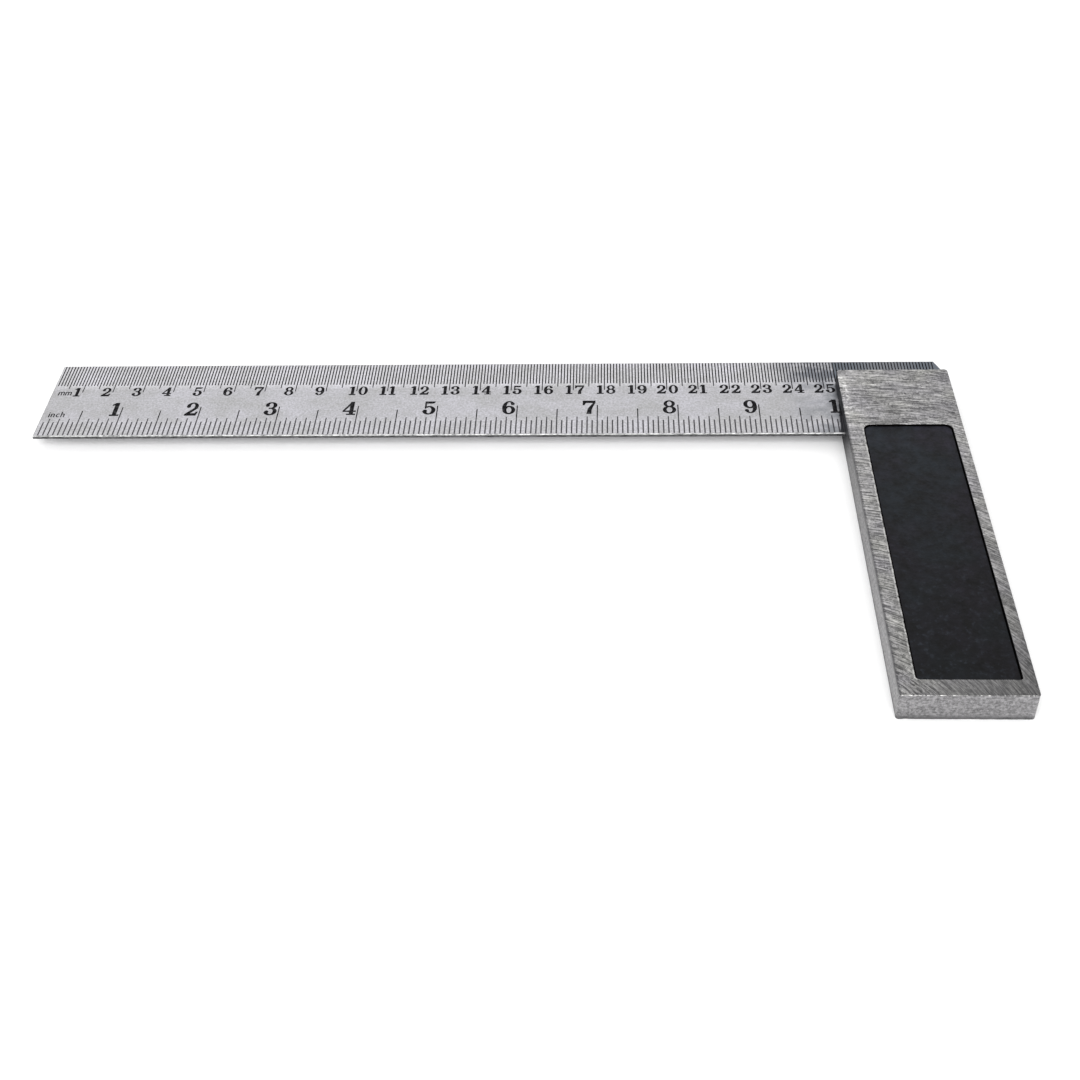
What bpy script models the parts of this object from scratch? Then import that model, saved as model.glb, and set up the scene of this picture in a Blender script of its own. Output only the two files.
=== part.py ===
"""A ten-inch all-steel square: a thin graduated blade riveted into a thick steel stock.

The square lies flat with its graduated side up. The blade runs along X, with its free end at -X.
The stock crosses its other end and reaches towards -Y. The origin is the middle of the square's
footprint, on the surface that the stock rests on. Lengths are in metres.
"""

import math

import bmesh
import bpy
from mathutils import Matrix, Vector

# Driving dimensions.
INCH = 0.0254
GRADUATED_LENGTH = 10 * INCH  # from the blade's free end to the stock's inner face
BLADE_WIDTH = 0.038
BLADE_THICKNESS = 0.0012
BLADE_OVERHANG = 0.010  # how far the blade's outer edge stands beyond the stock's far end
BLADE_CORNER_ALONG = 0.0022  # the chamfer on the blade's buried corner, along the outer edge
BLADE_CORNER_ACROSS = 0.0056  # the same chamfer, across the blade
STOCK_WIDTH = 0.035
STOCK_LENGTH = 0.140
STOCK_THICKNESS = 0.009
STOCK_ARRIS = 0.0002

# The two shallow pockets, one in each face of the stock, and the black fill in them.
POCKET_DEPTH = 0.0018
POCKET_INNER_RAIL = 0.0049  # steel left between the pocket and the stock's inner face
POCKET_OUTER_RAIL = 0.0033
POCKET_FAR_LAND = 0.0286  # steel left between the pocket and the stock's far end
POCKET_NEAR_RAIL = 0.0055
POCKET_FAR_RADIUS = 0.0025
POCKET_NEAR_RADIUS = 0.0008
INLAY_SETBACK = 0.0006  # how far the fill's surface lies below the stock's face

# Pins through both cheeks of the slot and the blade, ground off flush with the stock's faces.
RIVET_RADIUS = 0.002
RIVET_EDGE = 0.009  # from a rivet's axis to the nearer side of the stock
RIVET_FAR_ROW = 0.008  # from the stock's far end to the first two rivets
RIVET_NEAR_ROW = 0.020  # from the stock's far end to the third

GAP = 0.0003  # between pieces that touch on the real square
THROUGH = 0.002  # how far a cutter runs past the faces that it cuts through
ROUND_STEPS = 32

# Places worked out from the dimensions.
LENGTH = GRADUATED_LENGTH + STOCK_WIDTH
DEPTH = STOCK_LENGTH + BLADE_OVERHANG
FREE_END = -LENGTH / 2
OUTER_FACE = LENGTH / 2
INNER_FACE = OUTER_FACE - STOCK_WIDTH
NEAR_END = -DEPTH / 2
FAR_END = NEAR_END + STOCK_LENGTH
BLADE_OUTER_EDGE = FAR_END + BLADE_OVERHANG
BLADE_INNER_EDGE = BLADE_OUTER_EDGE - BLADE_WIDTH
BLADE_UNDERSIDE = (STOCK_THICKNESS - BLADE_THICKNESS) / 2
BLADE_TOP = BLADE_UNDERSIDE + BLADE_THICKNESS

STOCK_STEEL = ("ground_steel", (0.30, 0.30, 0.30), 0.38, 1.0)
BLADE_STEEL = ("satin_steel", (0.50, 0.51, 0.52), 0.32, 1.0)
RIVET_STEEL = ("rivet_steel", (0.32, 0.32, 0.32), 0.36, 1.0)
BLACK_FILL = ("black_enamel", (0.022, 0.024, 0.028), 0.45, 0.0)


def clear_scene():
    for obj in list(bpy.data.objects):
        bpy.data.objects.remove(obj)


def new_collection(name):
    collection = bpy.data.collections.new(name)
    bpy.context.scene.collection.children.link(collection)
    return collection


def material(name, color, roughness, metallic):
    made = bpy.data.materials.get(name) or bpy.data.materials.new(name)
    made.use_nodes = True
    shader = made.node_tree.nodes["Principled BSDF"]
    shader.inputs["Base Color"].default_value = (*color, 1)
    shader.inputs["Roughness"].default_value = roughness
    shader.inputs["Metallic"].default_value = metallic
    return made


def place(name, mesh, location, collection):
    obj = bpy.data.objects.new(name, mesh)
    obj.location = location
    collection.objects.link(obj)
    return obj


def box(name, low, high, collection):
    """A box between two corners, with its origin at its middle."""
    low, high = Vector(low), Vector(high)
    mesh = bpy.data.meshes.new(name)
    bm = bmesh.new()
    bmesh.ops.create_cube(bm, size=1, matrix=Matrix.Diagonal((*(high - low), 1)))
    bm.to_mesh(mesh)
    bm.free()
    return place(name, mesh, (low + high) / 2, collection)


def cylinder(name, radius, bottom, top, place_xy, collection):
    """An upright cylinder, with its origin at its middle."""
    mesh = bpy.data.meshes.new(name)
    bm = bmesh.new()
    bmesh.ops.create_cone(
        bm,
        cap_ends=True,
        segments=ROUND_STEPS,
        radius1=radius,
        radius2=radius,
        depth=top - bottom,
    )
    bm.to_mesh(mesh)
    bm.free()
    mesh.shade_smooth()
    mesh.set_sharp_from_angle(angle=math.radians(40))
    return place(name, mesh, (*place_xy, (bottom + top) / 2), collection)


def plate(name, outline, bottom, top, collection):
    """A flat plate: a filled 2D outline, extruded both ways from its middle plane, as a mesh."""
    curve = bpy.data.curves.new(name, "CURVE")
    curve.dimensions = "2D"
    curve.fill_mode = "BOTH"
    curve.extrude = (top - bottom) / 2
    spline = curve.splines.new("POLY")
    spline.points.add(len(outline) - 1)
    for point, (x, y) in zip(spline.points, outline):
        point.co = (x, y, 0, 1)
    spline.use_cyclic_u = True
    drawn = place(f"{name}_outline", curve, (0, 0, (bottom + top) / 2), collection)
    graph = bpy.context.evaluated_depsgraph_get()
    mesh = bpy.data.meshes.new_from_object(drawn.evaluated_get(graph))
    bm = bmesh.new()
    bm.from_mesh(mesh)
    bmesh.ops.remove_doubles(bm, verts=bm.verts, dist=1e-6)
    bmesh.ops.recalc_face_normals(bm, faces=bm.faces)
    bm.to_mesh(mesh)
    bm.free()
    made = bpy.data.objects.new(name, mesh)
    made.matrix_world = drawn.matrix_world
    collection.objects.link(made)
    bpy.data.objects.remove(drawn)
    bpy.data.curves.remove(curve)
    return made


def arc(center, radius, start_degrees, steps=6):
    """Points of a quarter circle, anticlockwise from the start angle."""
    points = []
    for step in range(steps + 1):
        angle = math.radians(start_degrees + 90 * step / steps)
        points.append((center[0] + radius * math.cos(angle), center[1] + radius * math.sin(angle)))
    return points


def pocket_outline(inset):
    """The pocket's outline, drawn in by an inset for the fill that lies in it."""
    left = INNER_FACE + POCKET_INNER_RAIL + inset
    right = OUTER_FACE - POCKET_OUTER_RAIL - inset
    near = NEAR_END + POCKET_NEAR_RAIL + inset
    far = FAR_END - POCKET_FAR_LAND - inset
    far_radius = POCKET_FAR_RADIUS - inset
    near_radius = POCKET_NEAR_RADIUS - inset
    return (
        arc((right - far_radius, far - far_radius), far_radius, 0)
        + arc((left + far_radius, far - far_radius), far_radius, 90)
        + arc((left + near_radius, near + near_radius), near_radius, 180)
        + arc((right - near_radius, near + near_radius), near_radius, 270)
    )


def cut(obj, cutter):
    """Subtracts a cutter, which stays as a hidden wire object."""
    cutter.hide_render = True
    cutter.display_type = "WIRE"
    modifier = obj.modifiers.new(f"cut_{cutter.name}", "BOOLEAN")
    modifier.operation = "DIFFERENCE"
    modifier.solver = "EXACT"
    modifier.object = cutter


def rivet_places():
    """The rivets' axes: two near the stock's far end, and one between them further in."""
    middle = (INNER_FACE + OUTER_FACE) / 2
    return (
        (INNER_FACE + RIVET_EDGE, FAR_END - RIVET_FAR_ROW),
        (OUTER_FACE - RIVET_EDGE, FAR_END - RIVET_FAR_ROW),
        (middle, FAR_END - RIVET_NEAR_ROW),
    )


def make_blade(parts):
    """The steel rule. It runs through the stock's slot, and its buried outer corner is cut off."""
    outline = (
        (FREE_END, BLADE_INNER_EDGE),
        (OUTER_FACE, BLADE_INNER_EDGE),
        (OUTER_FACE, BLADE_OUTER_EDGE - BLADE_CORNER_ACROSS),
        (OUTER_FACE - BLADE_CORNER_ALONG, BLADE_OUTER_EDGE),
        (FREE_END, BLADE_OUTER_EDGE),
    )
    blade = plate("blade", outline, BLADE_UNDERSIDE, BLADE_TOP, parts)
    blade.data.materials.append(material(*BLADE_STEEL))
    return blade


def make_stock(parts, cutters):
    """The steel bar, with the blade's slot sawn into its far end and a pocket in each face."""
    stock = box(
        "stock_body", (INNER_FACE, NEAR_END, 0), (OUTER_FACE, FAR_END, STOCK_THICKNESS), parts
    )
    stock.data.materials.append(material(*STOCK_STEEL))
    arris = stock.modifiers.new("broken_arrises", "BEVEL")
    arris.width = STOCK_ARRIS
    arris.segments = 1
    arris.limit_method = "ANGLE"
    slot = box(
        "blade_slot",
        (INNER_FACE - THROUGH, BLADE_INNER_EDGE - GAP, BLADE_UNDERSIDE - GAP),
        (OUTER_FACE + THROUGH, FAR_END + THROUGH, BLADE_TOP + GAP),
        cutters,
    )
    cut(stock, slot)
    outline = pocket_outline(0)
    floor = STOCK_THICKNESS - POCKET_DEPTH
    cut(stock, plate("front_pocket", outline, floor, STOCK_THICKNESS + THROUGH, cutters))
    cut(stock, plate("rear_pocket", outline, -THROUGH, POCKET_DEPTH, cutters))
    return stock


def make_rivets(stock, blade, parts, cutters):
    """Three pins through the cheeks and the blade, each in its own clearance hole."""
    for number, place_xy in enumerate(rivet_places(), 1):
        rivet = cylinder(f"rivet_{number}", RIVET_RADIUS, 0, STOCK_THICKNESS, place_xy, parts)
        rivet.data.materials.append(material(*RIVET_STEEL))
        hole = cylinder(
            f"rivet_hole_{number}",
            RIVET_RADIUS + GAP,
            -THROUGH,
            STOCK_THICKNESS + THROUGH,
            place_xy,
            cutters,
        )
        cut(stock, hole)
        cut(blade, hole)


def make_inlays(parts):
    """The black fill in each pocket, a little below the stock's face."""
    outline = pocket_outline(GAP)
    bottom = STOCK_THICKNESS - POCKET_DEPTH + GAP
    top = STOCK_THICKNESS - INLAY_SETBACK
    for name, low, high in (
        ("front_inlay", bottom, top),
        ("rear_inlay", STOCK_THICKNESS - top, STOCK_THICKNESS - bottom),
    ):
        inlay = plate(name, outline, low, high, parts)
        inlay.data.materials.append(material(*BLACK_FILL))


def main():
    clear_scene()
    parts = new_collection("steel_square")
    cutters = new_collection("cutters")
    stock = make_stock(parts, cutters)
    blade = make_blade(parts)
    make_rivets(stock, blade, parts, cutters)
    make_inlays(parts)


main()
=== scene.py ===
"""The looks of the steel square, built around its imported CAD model.

Every piece that shows is modelled here as a finer mesh in the place of its CAD node: a blade with
engraved graduations, a stock with worn arrises, and black panels with a lumpy enamel surface.
Sizes are in millimetres in the mesh code, and MM turns them into metres.
"""

import math

import bpy
from mathutils import Matrix, Vector, noise
from mathutils.geometry import delaunay_2d_cdt


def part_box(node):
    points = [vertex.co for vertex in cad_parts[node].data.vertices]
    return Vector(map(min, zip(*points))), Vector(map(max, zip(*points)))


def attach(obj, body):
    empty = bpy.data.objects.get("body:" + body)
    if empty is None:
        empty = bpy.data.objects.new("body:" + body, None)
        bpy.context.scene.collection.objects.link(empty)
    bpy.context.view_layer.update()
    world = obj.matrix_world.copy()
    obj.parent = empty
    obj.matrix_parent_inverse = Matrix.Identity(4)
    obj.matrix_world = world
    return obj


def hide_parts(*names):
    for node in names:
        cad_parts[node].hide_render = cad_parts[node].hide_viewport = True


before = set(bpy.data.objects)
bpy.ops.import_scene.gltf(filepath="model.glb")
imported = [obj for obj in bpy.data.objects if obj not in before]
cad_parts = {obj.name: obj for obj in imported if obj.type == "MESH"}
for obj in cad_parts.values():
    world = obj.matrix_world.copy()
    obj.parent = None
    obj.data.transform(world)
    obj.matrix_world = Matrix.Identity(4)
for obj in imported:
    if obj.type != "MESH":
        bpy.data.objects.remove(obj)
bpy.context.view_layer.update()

MM = 0.001
INCH = 25.4
SLACK = 0.02  # between pieces that fit tightly, in place of the CAD model's wider gaps

# The graduations, measured from the edge that each scale starts at.
MARK_DEPTH = 0.06
EDGE_CLEAR = 0.44  # between the blade's edge and the graduations
MARK_MARGIN = 0.02  # the least plain steel between its worn arris and the graduations
METRIC_LINE = 0.38  # a line's width as far as the shortest lines reach
METRIC_TAIL = 0.31  # the width of a longer line beyond that
METRIC_TICKS = {10: 14.9, 5: 13.0, 1: 11.3}  # length by multiple of a millimetre
METRIC_END = 286  # the last line before the blade's cut corner
METRIC_NUMBERS = 25  # one for each centimetre that the stock leaves bare
METRIC_HEIGHT = 4.6
METRIC_TOP = 12.4  # from the outer edge to the numbers' tops
METRIC_STRETCH = 1.0  # how wide the digits are, as a share of how wide they are drawn
INCH_LINE = 0.44
INCH_TAIL = 0.36
INCH_TICKS = {16: 15.0, 8: 13.1, 2: 9.0, 1: 7.2}  # length by multiple of a sixteenth
INCH_END = 10  # the last inch, which ends at the stock
INCH_HEIGHT = 6.9
INCH_BASE = 10.4  # from the inner edge to the numbers' feet
INCH_STRETCH = 0.94
TICK_SPACE = 0.6  # between a number and the line that it belongs to
PAIR_SPACE = 0.25  # between the line and the first of two digits that stand astride it
BOLDNESS = 0.05  # how far the numbers' strokes are thickened all round
LABEL_START = 2.2
METRIC_LABEL = (1.9, 14.5)  # x-height, and from the outer edge to the letters' tops
INCH_LABEL = (1.8, 9.9)  # x-height, and from the inner edge to the letters' feet
PEN = 0.15  # the width of the labels' strokes, as a share of their x-height

# A worn arris: its usual width, how much that wanders, and how wide its deepest nicks are.
BLADE_UPPER_ARRIS = (0.34, 0.1, 0.3)
BLADE_LOWER_ARRIS = (0.2, 0.06, 0.1)
STOCK_ARRIS = (0.22, 0.08, 0.3)
POCKET_ARRIS = (0.13, 0.1, 0.45)
INNER_SIDE_WEAR = 2.2  # how many times wider a pocket's arris is along its inner side
ARRIS_PROFILE = ((0, 1), (0.12, 0.5), (0.5, 0.12), (1, 0))  # in and down, as shares of its width
BLADE_SPACING = 1.5  # between the points of the blade's outline
STOCK_SPACING = 0.8

RIVETS = ("rivet_1", "rivet_2", "rivet_3")
RIVET_CHAMFER = 0.05
STOCK_FAR_RADIUS = 1.1
STOCK_NEAR_RADIUS = 0.8
POCKET_FAR_RADIUS = 2.5
POCKET_NEAR_RADIUS = 0.8
CAD_GAP = 0.3  # what the CAD model leaves round a black panel
GUTTER_WIDTH = 0.4  # the dark line between a panel and its pocket's walls
GUTTER_DEPTH = 0.4
PANEL_SPACING = 0.85  # between the points that carry a panel's lumps
PANEL_LUMPS = ((0.045, 0.16, 0), (0.03, 0.45, 5), (0.025, 1.1, 9))  # height, frequency, seed

# The stock's grinding marks lie on arcs round these two centres, in three layers. Each layer has
# the distance that its centres are moved by, and its frequencies across and along the marks.
CROSS_GRIND_CENTER = (90, -250)
SWIRL_CENTER = (88.5, -92)
GRINDING_LAYERS = ((0, 2.3, 0.12), (18, 4.2, 0.3), (-14, 1.1, 0.05))

# The camera and the lights are placed in metres and turned in degrees.
CAMERA_PLACE = (0.0367, -0.3322, 0.2906)
CAMERA_DIP = 41.69  # below the horizon
CAMERA_YAW = 3.48
CAMERA_ROLL = -2.35
CAMERA_LENS = 50.1

WORLD_LEVEL = 0.7
GLOW_LEVEL = 1.15
GLOW_REACH = 60  # from the glow's middle to where it has faded out
GLOW_DIRECTION = Vector((-0.25, 0.8, 0.55))
SOFTBOX_PLACE = Vector((-0.16, -1.36, 1.6))
SOFTBOX_SIZE = (1.9, 1.45)
SOFTBOX_POWER = 30
FLOOR_WHITE = 0.98
FLOOR_GLOW = 0.06
FLOOR_REACH = 4000  # in millimetres, from its middle to its edges


# --- Outlines -----------------------------------------------------------------------------------


def arc(center, radii, start, end, step=15):
    """Points along an elliptical arc, its angles in degrees."""
    count = max(2, math.ceil(abs(end - start) / step))
    points = []
    for index in range(count + 1):
        angle = math.radians(start + (end - start) * index / count)
        x = center[0] + radii[0] * math.cos(angle)
        y = center[1] + radii[1] * math.sin(angle)
        points.append((x, y))
    return points


def circle(center, radius, step=7.5):
    return arc(center, (radius, radius), 0, 360 - step, step)


def anticlockwise(points):
    area = 0
    for (ax, ay), (bx, by) in zip(points, points[1:] + points[:1]):
        area += ax * by - bx * ay
    return points if area > 0 else points[::-1]


def rounded_rectangle(low, high, far_radius, near_radius, step=15):
    (left, near), (right, far) = low, high
    corners = (
        (right - far_radius, far - far_radius, far_radius, 0),
        (left + far_radius, far - far_radius, far_radius, 90),
        (left + near_radius, near + near_radius, near_radius, 180),
        (right - near_radius, near + near_radius, near_radius, 270),
    )
    points = []
    for x, y, radius, start in corners:
        points += arc((x, y), (radius, radius), start, start + 90, step)
    return points


def divided(outline, spacing):
    """The outline with points added, so that none of its edges is longer than the spacing."""
    points = []
    for start, end in zip(outline, outline[1:] + outline[:1]):
        start, end = Vector(start), Vector(end)
        count = max(1, math.ceil((end - start).length / spacing))
        points += [tuple(start.lerp(end, index / count)) for index in range(count)]
    return points


def moved_in(outline, distances):
    """An anticlockwise outline with each point moved inwards by its own distance."""
    points = []
    for index, (x, y) in enumerate(outline):
        before = Vector(outline[index - 1])
        after = Vector(outline[(index + 1) % len(outline)])
        here = Vector((x, y))
        first, second = (here - before).normalized(), (after - here).normalized()
        inward = (first + second).normalized().orthogonal()
        stretch = 1 / max(0.5, inward.dot(first.orthogonal()))
        points.append(tuple(here + inward * distances[index] * stretch))
    return points


def ragged(outline, width, spread, nick, seed):
    """A worn arris's width at each point of an outline: uneven, with a nick here and there."""
    widths = []
    for x, y in outline:
        slow = noise.noise(Vector((x * 0.45, y * 0.45, seed)))
        fast = noise.noise(Vector((x * 1.3, y * 1.3, seed + 7)))
        widths.append(max(0.3 * width, width + spread * slow + nick * max(0, fast - 0.2)))
    return widths


# --- Numbers one unit high, and letters with an x-height of one unit, as polygons ------------------


def ribbon(center, outer, inner, start, end):
    """A curved stroke: the area between two elliptical arcs round one centre."""
    return arc(center, outer, start, end) + arc(center, inner, end, start)


def ring(center, outer, inner):
    return [ribbon(center, outer, inner, 0, 180), ribbon(center, outer, inner, 180, 360)]


def ball(x, y, radius):
    return circle((x, y), radius, 30)


def bar(start, end, start_width, end_width):
    """A straight stroke, as wide at each end as stated."""
    start, end = Vector(start), Vector(end)
    side = (end - start).normalized().orthogonal() / 2
    corners = (
        start - side * start_width,
        end - side * end_width,
        end + side * end_width,
        start + side * start_width,
    )
    return [tuple(corner) for corner in corners]


def block(left, low, right, high):
    return [(left, low), (right, low), (right, high), (left, high)]


def digit_0():
    return 0.64, ring((0.32, 0.5), (0.32, 0.5), (0.135, 0.425))


def digit_1():
    flag = [(0.0, 0.79), (0.17, 0.84), (0.2, 1.0), (0.15, 1.0), (0.0, 0.87)]
    return 0.46, [block(0.13, 0.05, 0.33, 1.0), block(0.0, 0.0, 0.46, 0.1), flag]


def digit_2():
    foot = [(0.0, 0.0), (0.57, 0.0), (0.63, 0.3), (0.54, 0.3), (0.49, 0.18), (0.15, 0.17), (0.0, 0.1)]
    neck = [(0.03, 0.05), (0.2, 0.1), (0.59, 0.58), (0.42, 0.6), (0.0, 0.12)]
    bowl = ribbon((0.3, 0.71), (0.29, 0.29), (0.115, 0.215), -32, 178)
    return 0.63, [bowl, neck, foot, ball(0.105, 0.7, 0.1)]


def digit_3():
    upper = ribbon((0.28, 0.745), (0.29, 0.255), (0.115, 0.18), -95, 172)
    lower = ribbon((0.29, 0.285), (0.32, 0.285), (0.13, 0.205), -172, 95)
    parts = [upper, lower, block(0.19, 0.49, 0.32, 0.57)]
    return 0.61, parts + [ball(0.1, 0.745, 0.095), ball(0.105, 0.26, 0.105)]


def digit_4():
    slope = [(0.0, 0.23), (0.1, 0.33), (0.44, 0.88), (0.5, 1.0), (0.37, 1.0), (0.0, 0.32)]
    return 0.64, [
        block(0.33, 0.05, 0.52, 1.0),
        block(0.0, 0.23, 0.64, 0.33),
        block(0.2, 0.0, 0.64, 0.09),
        slope,
    ]


def digit_5():
    bowl = ribbon((0.29, 0.325), (0.32, 0.325), (0.13, 0.24), -170, 128)
    top = [(0.08, 0.84), (0.46, 0.84), (0.56, 0.9), (0.56, 1.0), (0.08, 1.0)]
    return 0.61, [bowl, top, block(0.08, 0.46, 0.155, 1.0), ball(0.105, 0.27, 0.105)]


def digit_6():
    back = ribbon((0.33, 0.5), (0.33, 0.5), (0.14, 0.425), 48, 275)
    bowl = ring((0.33, 0.315), (0.31, 0.315), (0.13, 0.225))
    return 0.64, [back, *bowl, ball(0.5, 0.79, 0.095)]


def digit_7():
    top = [(0.0, 0.66), (0.07, 0.66), (0.14, 0.83), (0.6, 0.83), (0.62, 1.0), (0.0, 1.0)]
    stem = [(0.19, 0.0), (0.42, 0.0), (0.43, 0.3), (0.5, 0.55), (0.62, 0.86), (0.52, 0.86), (0.25, 0.4)]
    return 0.62, [top, stem]


def digit_8():
    upper = ring((0.32, 0.745), (0.27, 0.255), (0.12, 0.175))
    lower = ring((0.32, 0.285), (0.32, 0.285), (0.145, 0.2))
    return 0.64, upper + lower


def digit_9():
    width, parts = digit_6()
    return width, [[(width - x, 1 - y) for x, y in part] for part in parts]


DIGITS = (
    digit_0,
    digit_1,
    digit_2,
    digit_3,
    digit_4,
    digit_5,
    digit_6,
    digit_7,
    digit_8,
    digit_9,
)


def leg(x, height=0.75):
    return bar((x, 0), (x, height), PEN, PEN)


def arch(left, right):
    """A letter's shoulder, between two legs."""
    outer = ((right - left + PEN) / 2, 0.3)
    inner = (outer[0] - PEN, outer[1] - PEN)
    return ribbon(((left + right) / 2, 0.7), outer, inner, 0, 180)


def letter_m():
    return 1.1, [leg(0.1, 0.95), leg(0.55), leg(1.0), arch(0.1, 0.55), arch(0.55, 1.0)]


def letter_i():
    return 0.2, [leg(0.1, 0.95), ball(0.1, 1.25, 0.1)]


def letter_n():
    return 0.65, [leg(0.1, 0.95), leg(0.55), arch(0.1, 0.55)]


def letter_c():
    return 0.6, [ribbon((0.35, 0.5), (0.33, 0.5), (0.33 - PEN, 0.5 - PEN), 50, 310)]


def letter_h():
    return 0.65, [leg(0.1, 1.5), leg(0.55), arch(0.1, 0.55)]


def set_out(glyphs, x, y, height, stretch, space):
    """Glyphs in a row from a lower left corner, and where the row ends."""
    parts = []
    for make in glyphs:
        width, shapes = make()
        for shape in shapes:
            placed = [(x + px * height * stretch, y + py * height) for px, py in shape]
            placed = anticlockwise(placed)
            parts.append(moved_in(placed, [-BOLDNESS] * len(placed)))
        x += width * height * stretch + space
    return parts, x - space


def number_at(value, x, y, height, stretch):
    """A number beside its line: one digit goes to its left, and two stand one on each side."""
    digits = [DIGITS[int(character)] for character in str(value)]
    width = digits[0]()[0] * height * stretch
    space = TICK_SPACE if len(digits) == 1 else PAIR_SPACE
    parts, _ = set_out(digits[:1], x - space - width, y, height, stretch, 0)
    if len(digits) > 1:
        parts += set_out(digits[1:], x + TICK_SPACE, y, height, stretch, 0)[0]
    return parts


def ticks(start, pitch, count, lengths, widths, edge, inward):
    """A scale's lines. Each is as long as the largest multiple in lengths that divides its number.

    A line has the first width as far as the shortest lines reach, and the second beyond them.
    """
    lines = []
    shortest = min(lengths.values())
    for number in range(1, count + 1):
        length = next(lengths[multiple] for multiple in lengths if number % multiple == 0)
        x = start + number * pitch
        for width, near, far in ((widths[0], EDGE_CLEAR, shortest), (widths[1], shortest, length)):
            if far > near:
                ends = sorted((edge + inward * near, edge + inward * far))
                lines.append(block(x - width / 2, ends[0], x + width / 2, ends[1]))
    return lines


def graduations(free_end, inner_edge, outer_edge):
    """Every mark on the blade, as polygons that may overlap."""
    widths = (METRIC_LINE, METRIC_TAIL)
    marks = ticks(free_end, 1, METRIC_END, METRIC_TICKS, widths, outer_edge, -1)
    base = outer_edge - METRIC_TOP - METRIC_HEIGHT
    for number in range(1, METRIC_NUMBERS + 1):
        marks += number_at(number, free_end + 10 * number, base, METRIC_HEIGHT, METRIC_STRETCH)
    widths = (INCH_LINE, INCH_TAIL)
    marks += ticks(free_end, INCH / 16, 16 * INCH_END, INCH_TICKS, widths, inner_edge, 1)
    base = inner_edge + INCH_BASE
    for number in range(1, INCH_END + 1):
        marks += number_at(number, free_end + INCH * number, base, INCH_HEIGHT, INCH_STRETCH)
    height, top = METRIC_LABEL
    row = (free_end + LABEL_START, outer_edge - top - height)
    marks += set_out((letter_m, letter_m), *row, height, 1, 0.2)[0]
    height, base = INCH_LABEL
    row = (free_end + LABEL_START, inner_edge + base)
    marks += set_out((letter_i, letter_n, letter_c, letter_h), *row, height, 1.1, 0.35)[0]
    return marks


# --- Meshes -------------------------------------------------------------------------------------


class Shell:
    """A closed mesh under construction, in millimetres."""

    def __init__(self):
        self.points = []
        self.faces = []
        self.slots = []

    def loop(self, outline, height):
        """Adds an outline's points, at one height or each at its own, and returns their numbers."""
        heights = height if isinstance(height, list) else [height] * len(outline)
        first = len(self.points)
        self.points += [(x, y, z) for (x, y), z in zip(outline, heights)]
        return list(range(first, len(self.points)))

    def face(self, corners, slot=0):
        self.faces.append(corners)
        self.slots.append(slot)

    def walls(self, loops, slot=0):
        """Walls between loops listed from the lowest up, facing away from what the loops go round.

        Listed from the highest down, they face inwards, as a hole's do.
        """
        for lower, upper in zip(loops, loops[1:]):
            for index, corner in enumerate(lower):
                after = (index + 1) % len(lower)
                self.face((corner, lower[after], upper[after], upper[index]), slot)

    def arris(self, outline, widths, height, facing, side=1):
        """The four loops of a worn edge, from its side wall to its face.

        The face looks up (1) or down (-1). A side of -1 is for a hole's edge, which opens outwards.
        """
        loops = []
        for inset, drop in ARRIS_PROFILE:
            places = moved_in(outline, [side * inset * width for width in widths])
            loops.append(self.loop(places, [height - facing * drop * width for width in widths]))
        return loops

    def sheet(self, loops, height, facing, marks=(), inner=(), relief=None, slot=0):
        """A face inside the first loop and outside the others, looking up (1) or down (-1).

        Marks are outlines sunk into the face, which take the slot after its own. Inner points
        refine the face, and relief gives how far each of them stands out of it.
        """
        polygons = [[self.points[number][:2] for number in loop] for loop in loops] + list(marks)
        places, rings = [], []
        for polygon in polygons:
            rings.append(list(range(len(places), len(places) + len(polygon))))
            places += [Vector(place) for place in polygon]
        places += [Vector(place) for place in inner]
        only_inside, merged_below = 1, 1e-5
        found, _, triangles, origins, _, owners = delaunay_2d_cdt(
            places, [], rings, only_inside, merged_below
        )
        given = [number for loop in loops for number in loop]
        plain, sunk, sunk_edges = {}, {}, set()

        def corner_of(index, marked):
            """This shell's point for a corner of the triangulation, made when first needed."""
            known = sunk if marked else plain
            if index not in known:
                place = tuple(found[index])
                own = [number for number in origins[index] if number < len(given)]
                if marked:
                    known[index] = self.loop([place], height - facing * MARK_DEPTH)[0]
                elif own:
                    known[index] = given[own[0]]
                else:
                    rise = facing * relief(*place) if relief else 0
                    known[index] = self.loop([place], height + rise)[0]
            return known[index]

        for triangle, inside in zip(triangles, owners):
            if any(1 <= owner < len(loops) for owner in inside):
                continue
            marked = any(owner >= len(loops) for owner in inside)
            if marked:
                sunk_edges.update(zip(triangle, (*triangle[1:], triangle[0])))
            corners = [corner_of(index, marked) for index in triangle]
            self.face(corners[::facing], slot + marked)
        for start, end in sorted(sunk_edges):
            if (end, start) not in sunk_edges:
                top = corner_of(start, False), corner_of(end, False)
                self.face((*top, sunk[end], sunk[start])[::facing], slot + 1)

    def made(self, name, materials):
        mesh = bpy.data.meshes.new(name)
        places = [tuple(MM * value for value in point) for point in self.points]
        mesh.from_pydata(places, [], self.faces)
        for material in materials:
            mesh.materials.append(material)
        mesh.polygons.foreach_set("material_index", self.slots)
        obj = bpy.data.objects.new(name, mesh)
        bpy.context.scene.collection.objects.link(obj)
        return obj


def shade_smooth(obj, sharp_above):
    obj.data.shade_smooth()
    obj.data.set_sharp_from_angle(angle=math.radians(sharp_above))


def corners_mm(node):
    """A CAD node's lowest and highest corners, in millimetres."""
    low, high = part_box(node)
    return low / MM, high / MM


def stand_for(piece, node):
    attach(piece, "root")
    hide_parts(node)


def rivet_holes():
    """The rivets' axes, and the radius of the holes that they fill."""
    holes = []
    for node in RIVETS:
        low, high = corners_mm(node)
        holes.append((((low.x + high.x) / 2, (low.y + high.y) / 2), (high.x - low.x) / 2 + SLACK))
    return holes


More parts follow.
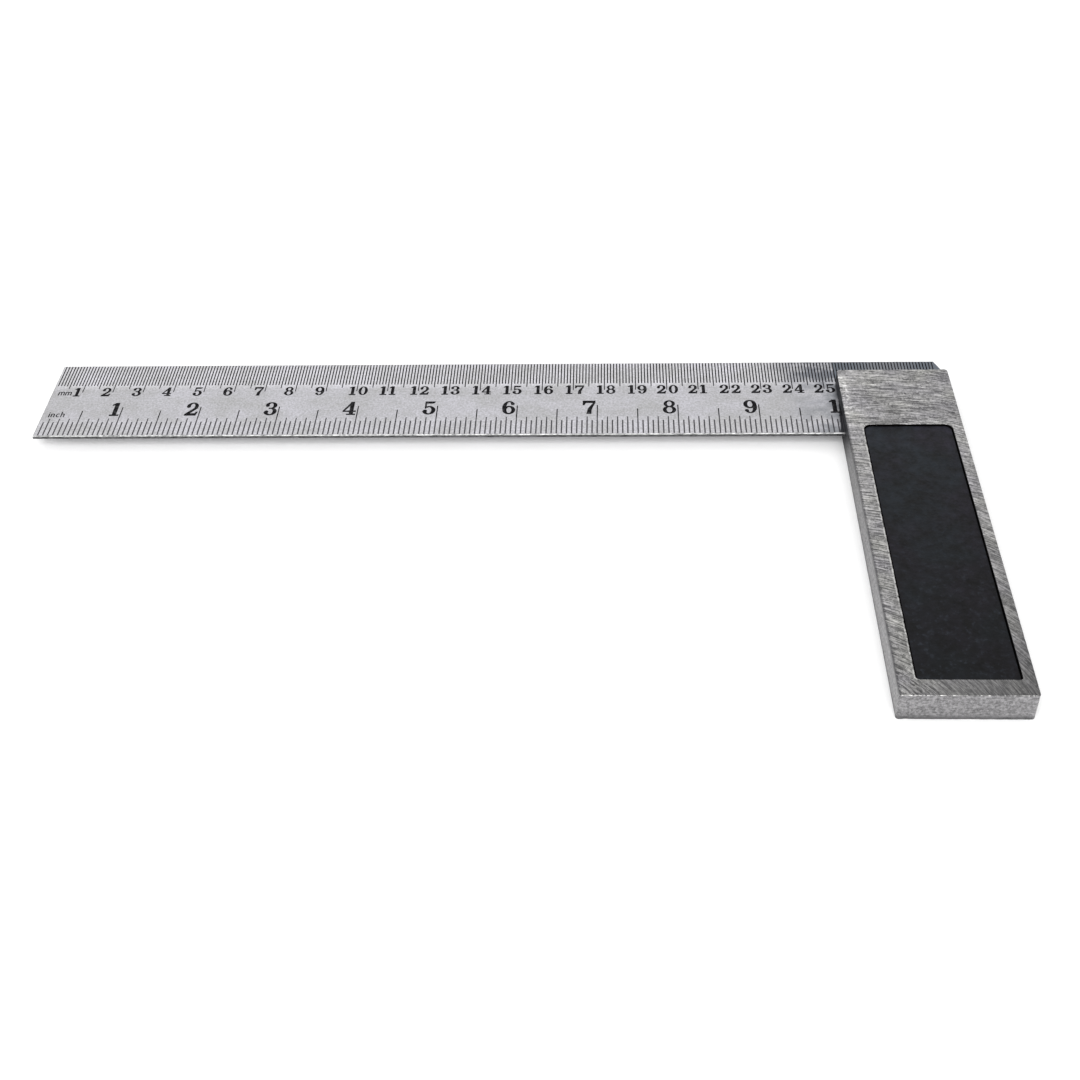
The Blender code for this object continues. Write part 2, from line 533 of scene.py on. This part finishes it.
def drilled(shell, bottom, top):
    """Adds the rivets' holes to a shell, and returns their upper and lower loops."""
    upper, lower = [], []
    for center, radius in rivet_holes():
        rim = circle(center, radius)
        upper.append(shell.loop(rim, top))
        lower.append(shell.loop(rim, bottom))
        shell.walls([upper[-1], lower[-1]])
    return upper, lower


def cut_corner(low, high):
    """How far the blade's buried corner is cut off, along X and along Y, from its CAD solid."""
    near_enough = 0.01
    places = [vertex.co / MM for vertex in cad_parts["blade"].data.vertices]
    along = high.x - max(place.x for place in places if place.y > high.y - near_enough)
    across = high.y - max(place.y for place in places if place.x > high.x - near_enough)
    return along, across


def make_blade(steel, marking, sheared, worn):
    """The steel rule, with the graduations cut into its upper face and its sheared edges worn."""
    low, high = corners_mm("blade")
    along, across = cut_corner(low, high)
    outline = [
        (low.x, low.y),
        (high.x, low.y),
        (high.x, high.y - across),
        (high.x - along, high.y),
        (low.x, high.y),
    ]
    outline = divided(outline, BLADE_SPACING)
    shell = Shell()
    lower = shell.arris(outline, ragged(outline, *BLADE_LOWER_ARRIS, 3), low.z, -1)
    widest = EDGE_CLEAR - MARK_MARGIN
    widths = [min(width, widest) for width in ragged(outline, *BLADE_UPPER_ARRIS, 11)]
    upper = shell.arris(outline, widths, high.z, 1)
    shell.walls(lower[::-1], slot=2)
    shell.walls([lower[0], upper[0]], slot=2)
    shell.walls(upper, slot=3)
    upper_holes, lower_holes = drilled(shell, low.z, high.z)
    marks = graduations(low.x, low.y, high.y)
    shell.sheet([upper[-1], *upper_holes], high.z, 1, marks)
    shell.sheet([lower[-1], *lower_holes], low.z, -1)
    blade = shell.made("graduated_blade", [steel, marking, sheared, worn])
    stand_for(blade, "blade")


def pocket_outline(node, inset):
    """The outline of the pocket that a black panel lies in, or of the panel."""
    low, high = corners_mm(node)
    grown = CAD_GAP - inset
    return divided(
        rounded_rectangle(
            (low.x - grown, low.y - grown),
            (high.x + grown, high.y + grown),
            POCKET_FAR_RADIUS - inset,
            POCKET_NEAR_RADIUS - inset,
        ),
        STOCK_SPACING,
    )


def make_stock(ground, side, crevice):
    """The steel bar: worn arrises, a pocket in each face, rivet holes, and the blade's slot."""
    low, high = corners_mm("stock_body")
    corners = (low.x, low.y), (high.x, high.y)
    outline = rounded_rectangle(*corners, STOCK_FAR_RADIUS, STOCK_NEAR_RADIUS)
    outline = divided(outline, STOCK_SPACING)
    shell = Shell()
    lower = shell.arris(outline, ragged(outline, *STOCK_ARRIS, 23), low.z, -1)
    upper = shell.arris(outline, ragged(outline, *STOCK_ARRIS, 31), high.z, 1)
    shell.walls(lower[::-1])
    shell.walls([lower[0], upper[0]], slot=1)
    shell.walls(upper)
    upper_holes, lower_holes = drilled(shell, low.z, high.z)
    for node, facing, face, edge, holes in (
        ("front_inlay", 1, high.z, upper[-1], upper_holes),
        ("rear_inlay", -1, low.z, lower[-1], lower_holes),
    ):
        pocket = pocket_outline(node, 0)
        widths = ragged(pocket, *POCKET_ARRIS, 40 + facing)
        inner_side = min(x for x, y in pocket) + 0.1
        for index, (x, y) in enumerate(pocket):
            if x < inner_side:
                widths[index] *= INNER_SIDE_WEAR
        mouth = shell.arris(pocket, widths, face, facing, -1)
        inlay_low, inlay_high = corners_mm(node)
        floor = inlay_low.z - CAD_GAP if facing > 0 else inlay_high.z + CAD_GAP
        base = shell.loop(pocket, floor)
        shell.walls(mouth[::-facing])
        # The pocket's walls are black paint, darkened as painted shade.
        shell.walls([mouth[0], base][::facing], slot=2)
        shell.sheet([base], floor, facing, slot=2)
        shell.sheet([edge, mouth[-1], *holes], face, facing)
    stock = shell.made("worn_stock", [ground, side, crevice])
    saw_slot(stock, low, high)
    shade_smooth(stock, 20)
    stand_for(stock, "stock_body")


def saw_slot(stock, low, high):
    """Cuts the blade's slot into the stock's far end, and lets it run past three of its sides."""
    blade_low, blade_high = corners_mm("blade")
    past = 2
    start = Vector((low.x - past, blade_low.y - SLACK, blade_low.z - SLACK))
    end = Vector((high.x + past, high.y + past, blade_high.z + SLACK))
    shell = Shell()
    outline = [(start.x, start.y), (end.x, start.y), (end.x, end.y), (start.x, end.y)]
    bottom, top = shell.loop(outline, start.z), shell.loop(outline, end.z)
    shell.walls([bottom, top])
    shell.face(top)
    shell.face(bottom[::-1])
    cutter = shell.made("slot_cutter", [])
    modifier = stock.modifiers.new("slot", "BOOLEAN")
    modifier.operation = "DIFFERENCE"
    modifier.solver = "EXACT"
    modifier.object = cutter
    graph = bpy.context.evaluated_depsgraph_get()
    stock.data = bpy.data.meshes.new_from_object(stock.evaluated_get(graph))
    stock.modifiers.clear()
    bpy.data.objects.remove(cutter)


def make_rivets(steel):
    """Pins ground off flush, each with an end that shows as no more than a hairline ring."""
    for number, node in enumerate(RIVETS, 1):
        low, high = corners_mm(node)
        center = ((low.x + high.x) / 2, (low.y + high.y) / 2)
        radius = (high.x - low.x) / 2
        shell = Shell()
        loops = []
        for inset, height in (
            (RIVET_CHAMFER, low.z),
            (0, low.z + RIVET_CHAMFER),
            (0, high.z - RIVET_CHAMFER),
            (RIVET_CHAMFER, high.z),
        ):
            loops.append(shell.loop(circle(center, radius - inset), height))
        shell.walls(loops)
        shell.face(loops[0][::-1])
        shell.face(loops[-1])
        rivet = shell.made(f"flush_rivet_{number}", [steel])
        shade_smooth(rivet, 30)
        stand_for(rivet, node)


def make_inlay(name, node, facing, seed, enamel, crevice):
    """The enamel in a pocket: lumpy, with a narrow sunk gutter along the pocket's walls."""
    low, high = corners_mm(node)
    outline = pocket_outline(node, SLACK)
    level, back = (high.z, low.z) if facing > 0 else (low.z, high.z)
    back -= facing * (CAD_GAP - SLACK)

    def relief(x, y):
        """How far the surface stands out at a place."""
        rise = 0
        for lump, frequency, change in PANEL_LUMPS:
            rise += lump * noise.noise(Vector((x * frequency, y * frequency, seed + change)))
        return rise

    inner = []
    spacing = PANEL_SPACING
    for row in range(1, math.ceil((high.y - low.y) / spacing)):
        for column in range(1, math.ceil((high.x - low.x) / spacing)):
            x = low.x + (column + 0.5 * (row % 2) - 0.25) * spacing  # every other row is shifted
            if x < high.x - 0.5 * spacing:
                inner.append((x, low.y + row * spacing))
    shell = Shell()
    edge = moved_in(outline, [GUTTER_WIDTH] * len(outline))
    rim = shell.loop(edge, [level + facing * relief(x, y) for x, y in edge])
    gutter = shell.loop(outline, level - facing * GUTTER_DEPTH)
    base = shell.loop(outline, back)
    # The gutter is darkened as painted shade, for the dark line round the panel.
    shell.walls([base, gutter, rim][::facing], slot=1)
    shell.sheet([rim], level, facing, inner=inner, relief=relief)
    shell.sheet([base], back, -facing)
    inlay = shell.made(name, [enamel, crevice])
    shade_smooth(inlay, 35)
    stand_for(inlay, node)


# --- Materials ----------------------------------------------------------------------------------


class Graph:
    """A material and its node tree, with short ways to add the nodes that are used here."""

    def __init__(self, name, **settings):
        self.material = bpy.data.materials.new(name)
        self.material.use_nodes = True
        self.tree = self.material.node_tree
        self.shader = self.tree.nodes["Principled BSDF"]
        for socket, value in settings.items():
            self.plug(self.shader.inputs[socket.replace("_", " ")], value)

    def plug(self, socket, value):
        if isinstance(value, bpy.types.NodeSocket):
            self.tree.links.new(value, socket)
        else:
            socket.default_value = value

    def add(self, kind, inputs, **settings):
        """A node with its settings, and a value or a link for each numbered input."""
        node = self.tree.nodes.new(kind)
        for setting, value in settings.items():
            setattr(node, setting, value)
        for number, value in inputs.items():
            self.plug(node.inputs[number], value)
        return node

    def math(self, operation, first, second=0.0, third=0.0):
        inputs = {0: first, 1: second, 2: third}
        return self.add("ShaderNodeMath", inputs, operation=operation).outputs[0]

    def product(self, first, *others):
        for other in others:
            first = self.math("MULTIPLY", first, other)
        return first

    def place(self):
        """The point's X, Y and Z in millimetres."""
        source = self.add("ShaderNodeTexCoord", {}).outputs["Object"]
        scaled = self.add(
            "ShaderNodeVectorMath", {0: source, 1: (1000, 1000, 1000)}, operation="MULTIPLY"
        )
        return self.add("ShaderNodeSeparateXYZ", {0: scaled.outputs[0]}).outputs

    def vector(self, x, y, z=0.0):
        return self.add("ShaderNodeCombineXYZ", {0: x, 1: y, 2: z}).outputs[0]

    def noise(self, vector, detail=2.0, roughness=0.5):
        inputs = {"Vector": vector, "Scale": 1.0, "Detail": detail, "Roughness": roughness}
        return self.add("ShaderNodeTexNoise", inputs).outputs[0]

    def remap(self, value, low, high, to_low=0.0, to_high=1.0, smooth=False):
        inputs = {0: value, 1: low, 2: high, 3: to_low, 4: to_high}
        kind = "SMOOTHSTEP" if smooth else "LINEAR"
        return self.add("ShaderNodeMapRange", inputs, interpolation_type=kind).outputs[0]

    def band(self, value, low, high, soft):
        """One from low to high, fading to zero over a soft distance on both sides."""
        rising = self.remap(value, low - soft, low)
        return self.math("MULTIPLY", rising, self.remap(value, high + soft, high))

    def mix(self, factor, first, second, blend="MIX"):
        """Blends two colours; each is a link or three numbers."""
        colors = [(*c, 1) if isinstance(c, tuple) else c for c in (first, second)]
        inputs = {0: factor, 6: colors[0], 7: colors[1]}
        node = self.add("ShaderNodeMix", inputs, data_type="RGBA", blend_type=blend)
        return node.outputs[2]

    def tinted(self, color, tint):
        """A colour multiplied by another, or by a number."""
        if isinstance(tint, bpy.types.NodeSocket) and tint.type == "VALUE":
            tint = self.vector(tint, tint, tint)
        return self.mix(1.0, color, tint, "MULTIPLY")

    def bump(self, height, distance):
        node = self.add("ShaderNodeBump", {"Height": height, "Distance": distance})
        self.plug(self.shader.inputs["Normal"], node.outputs[0])

    def scaled(self, place, x, y, z):
        """The place with a frequency per millimetre along each axis."""
        return self.vector(*[self.product(p, f) for p, f in zip(place, (x, y, z))])

    def blend(self, share, first, second):
        """Blends two values."""
        return self.add("ShaderNodeMix", {0: share, 2: first, 3: second}).outputs[0]

    def finished(self, color, roughness=None):
        """The material, once its colour and its roughness are plugged in."""
        self.plug(self.shader.inputs["Base Color"], color)
        if roughness is not None:
            self.plug(self.shader.inputs["Roughness"], roughness)
        return self.material


def around(graph, place, center, across, along):
    """The distance from a centre and along an arc round it, scaled to frequencies per millimetre."""
    dx = graph.math("SUBTRACT", place[0], center[0])
    dy = graph.math("SUBTRACT", place[1], center[1])
    radius = graph.math("SQRT", graph.math("ADD", graph.product(dx, dx), graph.product(dy, dy)))
    arc_length = graph.product(graph.math("ARCTAN2", dy, dx), radius)
    return graph.vector(
        graph.product(radius, across),
        graph.product(arc_length, along),
        graph.product(place[2], 0.3),
    )


def grinding_layers(graph, place, high):
    """The stock's marks, straight near the blade, and swirling below it and by the outer side."""
    blade_edge, middle = corners_mm("blade")[0].y, 0.0
    lower = graph.remap(place[1], blade_edge + 8, middle)
    outer = graph.remap(place[0], high.x - 15, high.x - 3, 0.0, 0.85)
    swirl = graph.math("MAXIMUM", lower, outer)
    layers = []
    for shift, across, along in GRINDING_LAYERS:
        crossing_center = (CROSS_GRIND_CENTER[0] + shift, CROSS_GRIND_CENTER[1])
        swirl_center = (SWIRL_CENTER[0] + 0.25 * shift, SWIRL_CENTER[1] - 0.25 * shift)
        fields = []
        for center in (crossing_center, swirl_center):
            fields.append(graph.noise(around(graph, place, center, across, along), 3.0, 0.6))
        layers.append(graph.blend(swirl, *fields))
    return layers


def ground_steel():
    """The stock's faces: coarsely ground, and darkened towards the near end by painted shade."""
    graph = Graph("ground_steel", Metallic=1.0)
    place = graph.place()
    low, high = corners_mm("stock_body")
    blade_edge = corners_mm("blade")[0].y
    broad, thin, deep = grinding_layers(graph, place, high)
    speckle = graph.noise(graph.scaled(place, 1.5, 1.1, 1.5), detail=3.0, roughness=0.7)
    tone = graph.remap(broad, 0.4, 0.6, 0.0, 0.4)
    tone = graph.math("ADD", tone, graph.remap(thin, 0.38, 0.62, 0.0, 0.4))
    tone = graph.math("ADD", tone, graph.remap(speckle, 0.4, 0.6, 0.0, 0.2))
    color = graph.mix(graph.math("POWER", tone, 1.7), (0.09, 0.09, 0.092), (0.8, 0.79, 0.78))

    # Real scratches with a painted glint, and broad clouds of a cooler and a warmer grey.
    scratch = graph.math("ABSOLUTE", graph.math("SUBTRACT", deep, 0.5))
    scratch = graph.remap(scratch, 0.01, 0.03, 0.45, 0.0)
    scratch = graph.product(scratch, graph.remap(speckle, 0.45, 0.55))
    color = graph.mix(scratch, color, (0.9, 0.89, 0.88))
    cloud = graph.noise(graph.scaled(place, 0.09, 0.09, 0.09), detail=3.0)
    tint = graph.mix(graph.remap(cloud, 0.35, 0.65), (0.88, 0.87, 0.91), (1.0, 1.0, 0.97))
    color = graph.tinted(color, tint)

    # Painted shade: towards the near end the marks fade into flat grey and the steel darkens.
    near_end_shade = graph.math("POWER", graph.remap(place[1], high.y, low.y), 2.6)
    faded_in_shade = graph.product(graph.remap(place[0], low.x + 3, low.x + 12, 0.0, 0.42), near_end_shade)
    color = graph.mix(faded_in_shade, color, (0.33, 0.327, 0.328))
    toward_outer = graph.remap(place[0], low.x, high.x, 0.27, 0.6)
    level = graph.math("SUBTRACT", 1.0, graph.product(near_end_shade, toward_outer))
    # The far land, where the blade runs, is a little darker.
    far_land = graph.remap(place[1], blade_edge - 7, blade_edge + 8, 0.0, 0.09)
    far_land = graph.product(far_land, graph.remap(place[0], low.x + 3, low.x + 13))
    color = graph.tinted(color, graph.math("SUBTRACT", level, far_land))

    # Painted shade on the arrises that face inwards, and in a ragged line beside the inner arris below
    # the blade.
    facing = graph.add("ShaderNodeNewGeometry", {}).outputs["True Normal"]
    facing = graph.add("ShaderNodeSeparateXYZ", {0: facing}).outputs
    on_arris = graph.product(graph.remap(facing[0], -0.25, -0.6), 0.8)
    beside_arris = graph.product(
        graph.remap(place[0], low.x + 0.6, low.x + 0.35, 0.0, 0.75),
        graph.remap(speckle, 0.42, 0.52),
        graph.remap(place[1], blade_edge + 5, blade_edge - 1),
    )
    color = graph.mix(graph.math("MAXIMUM", on_arris, beside_arris), color, (0.07, 0.07, 0.075))

    # Painted glints: bright flecks along the near arris and the pocket's inner side, and bright streaks
    # by the joint.
    glint_noise = graph.noise(graph.scaled(place, 0.7, 0.7, 0.7), detail=3.0, roughness=0.7)
    near_arris = graph.product(
        graph.remap(facing[1], -0.25, -0.6),
        graph.remap(place[1], low.y + 4, low.y + 2),
        graph.remap(glint_noise, 0.52, 0.64),
    )
    pocket_low, pocket_high = corners_mm("front_inlay")
    pocket_side = graph.product(
        graph.band(place[0], pocket_low.x - CAD_GAP - 0.35, pocket_low.x, 0.3),
        graph.band(place[1], pocket_low.y, pocket_high.y - 2, 1.0),
        graph.remap(glint_noise, 0.42, 0.54),
    )
    color = graph.mix(graph.math("MAXIMUM", near_arris, pocket_side), color, (0.66, 0.65, 0.64))
    by_joint = graph.product(
        graph.band(place[0], low.x + 0.3, low.x + 1.9, 1.0),
        graph.band(place[1], blade_edge + 4, high.y - 4, 1.0),
        graph.remap(glint_noise, 0.5, 0.6),
        graph.remap(thin, 0.42, 0.54),
    )
    color = graph.mix(by_joint, color, (0.95, 0.94, 0.93))
    graph.bump(tone, 0.02 * MM)
    return graph.finished(color, graph.remap(tone, 0.0, 1.0, 0.5, 0.36))


def side_steel():
    """The stock's narrow sides: lengthwise grinding, speckled, with painted shade, and near-black by
    the blade.
    """
    graph = Graph("side_ground_steel", Specular_IOR_Level=0.1)
    place = graph.place()
    low, high = corners_mm("stock_body")
    blade_edge = corners_mm("blade")[0].y
    streaks = graph.noise(graph.scaled(place, 0.3, 0.3, 2.4), detail=3.0, roughness=0.6)
    speckle = graph.noise(graph.scaled(place, 1.5, 1.5, 1.5), detail=3.0, roughness=0.7)
    both = graph.blend(0.75, streaks, speckle)
    color = graph.mix(graph.remap(both, 0.37, 0.63), (0.15, 0.148, 0.151), (0.42, 0.412, 0.42))

    # Painted shade: a ragged dark band along the foot, for the contact shadow there.
    ragged_edge = graph.product(speckle, 1.5)
    foot = graph.math("SUBTRACT", place[2], ragged_edge)
    foot = graph.remap(foot, low.z + 1.1, low.z - 0.7, 0.0, 0.85)
    # A ragged dark edge along the top of all but the near end.
    crown = graph.math("ADD", place[2], ragged_edge)
    crown = graph.remap(crown, high.z - 1.1, high.z + 0.7, 0.0, 0.85)
    long_side = graph.remap(place[1], low.y + 0.8, low.y + 1.6)
    dark_edge = graph.math("MAXIMUM", foot, graph.product(crown, long_side))
    color = graph.mix(dark_edge, color, (0.06, 0.06, 0.063))

    # Painted shade darkens the inner side towards the blade, and it turns near-black where the blade
    # meets it.
    inner_side = graph.remap(place[0], low.x + 0.4, low.x + 1.6, 1.0, 0.0)
    shade = graph.remap(place[1], blade_edge - 80, blade_edge - 10, 0.93, 0.55)
    color = graph.tinted(color, graph.blend(inner_side, 1.0, shade))
    near_blade_black = graph.product(
        graph.remap(place[1], blade_edge - 13, blade_edge, smooth=True),
        inner_side,
        graph.remap(streaks, 0.25, 0.6, 0.94, 1.0),
    )
    color = graph.mix(near_blade_black, color, (0.018, 0.019, 0.022))
    graph.plug(graph.shader.inputs["Metallic"], graph.remap(near_blade_black, 0.5, 1.0, 1.0, 0.0))
    graph.bump(both, 0.03 * MM)
    return graph.finished(color, graph.remap(both, 0.3, 0.7, 0.52, 0.38))


def satin_steel():
    """The blade: fine satin, faintly blotched, darker in clouds by the stock and blued where it passes
    it.
    """
    graph = Graph("satin_steel", Metallic=1.0)
    place = graph.place()
    joint = corners_mm("stock_body")[0].x
    low, high = corners_mm("blade")
    grain = graph.noise(graph.scaled(place, 1.5, 1.3, 1.0), detail=4.0, roughness=0.7)
    blotch = graph.noise(graph.scaled(place, 0.09, 0.13, 0.1), detail=4.0, roughness=0.65)
    color = graph.mix(graph.remap(grain, 0.36, 0.64), (0.41, 0.408, 0.418), (0.6, 0.596, 0.626))
    tint = graph.mix(graph.remap(blotch, 0.36, 0.64), (0.85, 0.85, 0.835), (1.03, 1.025, 1.05))
    color = graph.tinted(color, tint)

    # On the front, the steel among the graduation lines is brighter than the rest.
    by_inches = graph.remap(place[1], low.y + 9.5, low.y + 6.5)
    by_millimetres = graph.remap(place[1], high.y - 14, high.y - 11)
    front = graph.remap(place[2], low.z, high.z)
    brighter = graph.math("MULTIPLY_ADD", by_millimetres, 0.3, graph.product(by_inches, 0.12))
    color = graph.tinted(color, graph.math("MULTIPLY_ADD", brighter, front, 1.0))

    # Darker clouds by the stock, darkest along the outer edge.
    patches = graph.noise(graph.scaled(place, 0.13, 0.2, 0.2), detail=4.0, roughness=0.6)
    cloud_by_stock = graph.product(
        graph.remap(place[0], joint - 22, joint + 1, smooth=True),
        graph.remap(patches, 0.38, 0.58, 0.15, 0.95),
    )
    color = graph.mix(cloud_by_stock, color, (0.22, 0.23, 0.25))
    cloud_by_edge = graph.product(
        graph.remap(place[0], joint - 26, joint - 8, smooth=True),
        graph.remap(place[1], high.y - 15, high.y - 7),
        graph.remap(patches, 0.4, 0.56, 0.2, 0.75),
    )
    color = graph.mix(cloud_by_edge, color, (0.17, 0.18, 0.21))

    # A ragged black line along the joint, wider towards the inner edge, and blued steel past it.
    line = graph.math("ADD", place[0], graph.product(patches, 1.2))
    line = graph.math("ADD", line, graph.remap(place[1], low.y + 1, low.y + 19, 1.25, 0.0))
    line = graph.remap(line, joint + 0.4, joint + 0.7)
    color = graph.mix(line, color, (0.045, 0.047, 0.053))
    rubbed = graph.band(place[0], joint + 13, high.x - 15, 8)
    blue = graph.mix(rubbed, (0.145, 0.162, 0.188), (0.2, 0.21, 0.232))
    color = graph.mix(graph.remap(place[0], joint - 0.2, joint + 0.5), color, blue)
    graph.bump(grain, 0.008 * MM)
    return graph.finished(color, graph.remap(blotch, 0.35, 0.65, 0.3, 0.38))


def edge_steel(name, dark, light, roughness):
    """The blade's narrow edges, with fine irregular speckle."""
    graph = Graph(name, Metallic=1.0, Roughness=roughness)
    place = graph.place()
    speckle = graph.noise(graph.scaled(place, 0.8, 0.8, 3.0), detail=4.0, roughness=0.7)
    graph.bump(speckle, 0.03 * MM)
    return graph.finished(graph.mix(graph.remap(speckle, 0.38, 0.62), dark, light))


def mark_black():
    """The black in the engraved lines and numbers, worn thin in places and on the inches' lines."""
    graph = Graph("mark_black", Specular_IOR_Level=0.05)
    place = graph.place()
    inner_edge = corners_mm("blade")[0].y
    wear = graph.noise(graph.scaled(place, 0.9, 0.9, 0.9), detail=3.0)
    color = graph.mix(graph.remap(wear, 0.5, 0.8), (0.004, 0.004, 0.005), (0.06, 0.06, 0.063))
    by_inches = graph.remap(place[1], inner_edge + 9.3, inner_edge + 8.6, 0.0, 0.6)
    color = graph.mix(by_inches, color, (0.11, 0.105, 0.115))
    return graph.finished(color, graph.remap(wear, 0.3, 0.7, 0.5, 0.7))


def black_enamel():
    """The panels: near-black, mottled blue-green and violet, finely pitted, darker when nearer as
    painted shade.
    """
    graph = Graph("black_enamel", Specular_IOR_Level=0.14)
    place = graph.place()
    low, high = corners_mm("front_inlay")
    tint = graph.noise(graph.scaled(place, 0.06, 0.06, 0.06), detail=2.0)
    patches = graph.noise(graph.scaled(place, 0.2, 0.2, 0.2), detail=2.0)
    mottle = graph.noise(graph.scaled(place, 0.5, 0.5, 0.5), detail=4.0, roughness=0.65)
    pits = graph.noise(graph.scaled(place, 1.1, 1.1, 1.1), detail=3.0, roughness=0.6)
    tint = graph.remap(tint, 0.4, 0.6)
    color = graph.mix(tint, (0.0076, 0.0105, 0.0148), (0.0102, 0.0088, 0.0152))
    # Painted shade: the panels darken towards the near end.
    fade = graph.math("POWER", graph.remap(place[1], low.y, high.y), 1.6)
    fade = graph.remap(fade, 0.0, 1.0, 0.35, 1.0)
    level = graph.remap(graph.blend(0.5, mottle, patches), 0.36, 0.64, 0.2, 1.5)
    color = graph.tinted(color, graph.product(fade, level))
    worn = graph.product(
        graph.remap(place[1], high.y - 10, low.y + 15, 0.1, 1.0),
        graph.remap(mottle, 0.5, 0.62),
        graph.remap(pits, 0.46, 0.7),
    )
    color = graph.mix(worn, color, (0.018, 0.022, 0.029))
    graph.bump(pits, 0.06 * MM)
    return graph.finished(color, graph.remap(pits, 0.3, 0.7, 0.36, 0.56))


def crevice_black():
    """The dull black down a pocket's walls and in the gutter round its panel, darker than the enamel as
    painted shade.
    """
    graph = Graph("crevice_black", Specular_IOR_Level=0.03, Roughness=0.8)
    dust = graph.noise(graph.scaled(graph.place(), 1.4, 1.4, 1.4), detail=3.0)
    dust = graph.remap(dust, 0.4, 0.7)
    return graph.finished(graph.mix(dust, (0.0008, 0.0007, 0.0008), (0.006, 0.005, 0.005)))


# --- Stage --------------------------------------------------------------------------------------


def make_floor():
    """A plain white floor, with a faint glow of its own that keeps the shadows on it light."""
    graph = Graph(
        "white_floor",
        Base_Color=(FLOOR_WHITE, FLOOR_WHITE, FLOOR_WHITE, 1),
        Roughness=0.9,
        Emission_Color=(1, 1, 1, 1),
        Emission_Strength=FLOOR_GLOW,
    )
    shell = Shell()
    shell.face(shell.loop(block(-FLOOR_REACH, -FLOOR_REACH, FLOOR_REACH, FLOOR_REACH), 0))
    floor = shell.made("floor", [graph.material])


def make_softbox():
    """A large soft light over the camera, facing the origin."""
    light = bpy.data.lights.new("softbox", "AREA")
    light.shape = "RECTANGLE"
    light.size, light.size_y = SOFTBOX_SIZE
    light.energy = SOFTBOX_POWER
    lamp = bpy.data.objects.new("softbox", light)
    lamp.location = SOFTBOX_PLACE
    lamp.rotation_euler = (-SOFTBOX_PLACE).to_track_quat("-Z", "Y").to_euler()
    bpy.context.scene.collection.objects.link(lamp)


def make_world():
    """A white studio that is brightest low behind the square."""
    world = bpy.data.worlds.new("studio")
    bpy.context.scene.world = world
    world.use_nodes = True
    nodes, links = world.node_tree.nodes, world.node_tree.links
    direction = nodes.new("ShaderNodeTexCoord")
    toward = nodes.new("ShaderNodeVectorMath")
    toward.operation = "DOT_PRODUCT"
    toward.inputs[1].default_value = GLOW_DIRECTION.normalized()
    links.new(direction.outputs["Generated"], toward.inputs[0])
    level = nodes.new("ShaderNodeMapRange")
    level.interpolation_type = "SMOOTHSTEP"
    level.inputs["From Min"].default_value = math.cos(math.radians(GLOW_REACH))
    level.inputs["From Max"].default_value = 1
    level.inputs["To Min"].default_value = WORLD_LEVEL
    level.inputs["To Max"].default_value = GLOW_LEVEL
    links.new(toward.outputs["Value"], level.inputs["Value"])
    links.new(level.outputs["Result"], nodes["Background"].inputs["Strength"])
    nodes["Background"].inputs["Color"].default_value = (1, 1, 1, 1)


def make_camera():
    camera = bpy.data.cameras.new("camera")
    camera.sensor_width = 36
    camera.lens = CAMERA_LENS
    camera.clip_start = 0.01
    holder = bpy.data.objects.new("camera", camera)
    holder.matrix_world = (
        Matrix.Translation(CAMERA_PLACE)
        @ Matrix.Rotation(math.radians(CAMERA_YAW), 4, "Z")
        @ Matrix.Rotation(math.radians(90 - CAMERA_DIP), 4, "X")
        @ Matrix.Rotation(math.radians(CAMERA_ROLL), 4, "Z")
    )
    bpy.context.scene.collection.objects.link(holder)
    bpy.context.scene.camera = holder


ground = ground_steel()
enamel = black_enamel()
crevice = crevice_black()
sheared = edge_steel("sheared_edge", (0.045, 0.045, 0.047), (0.19, 0.19, 0.195), 0.5)
worn = edge_steel("worn_edge", (0.16, 0.16, 0.163), (0.52, 0.52, 0.52), 0.36)
make_blade(satin_steel(), mark_black(), sheared, worn)
make_stock(ground, side_steel(), crevice)
make_rivets(ground)
make_inlay("front_enamel", "front_inlay", 1, 51, enamel, crevice)
make_inlay("rear_enamel", "rear_inlay", -1, 67, enamel, crevice)
make_floor()
make_world()
make_softbox()
make_camera()
bpy.context.scene.view_settings.view_transform = "Standard"
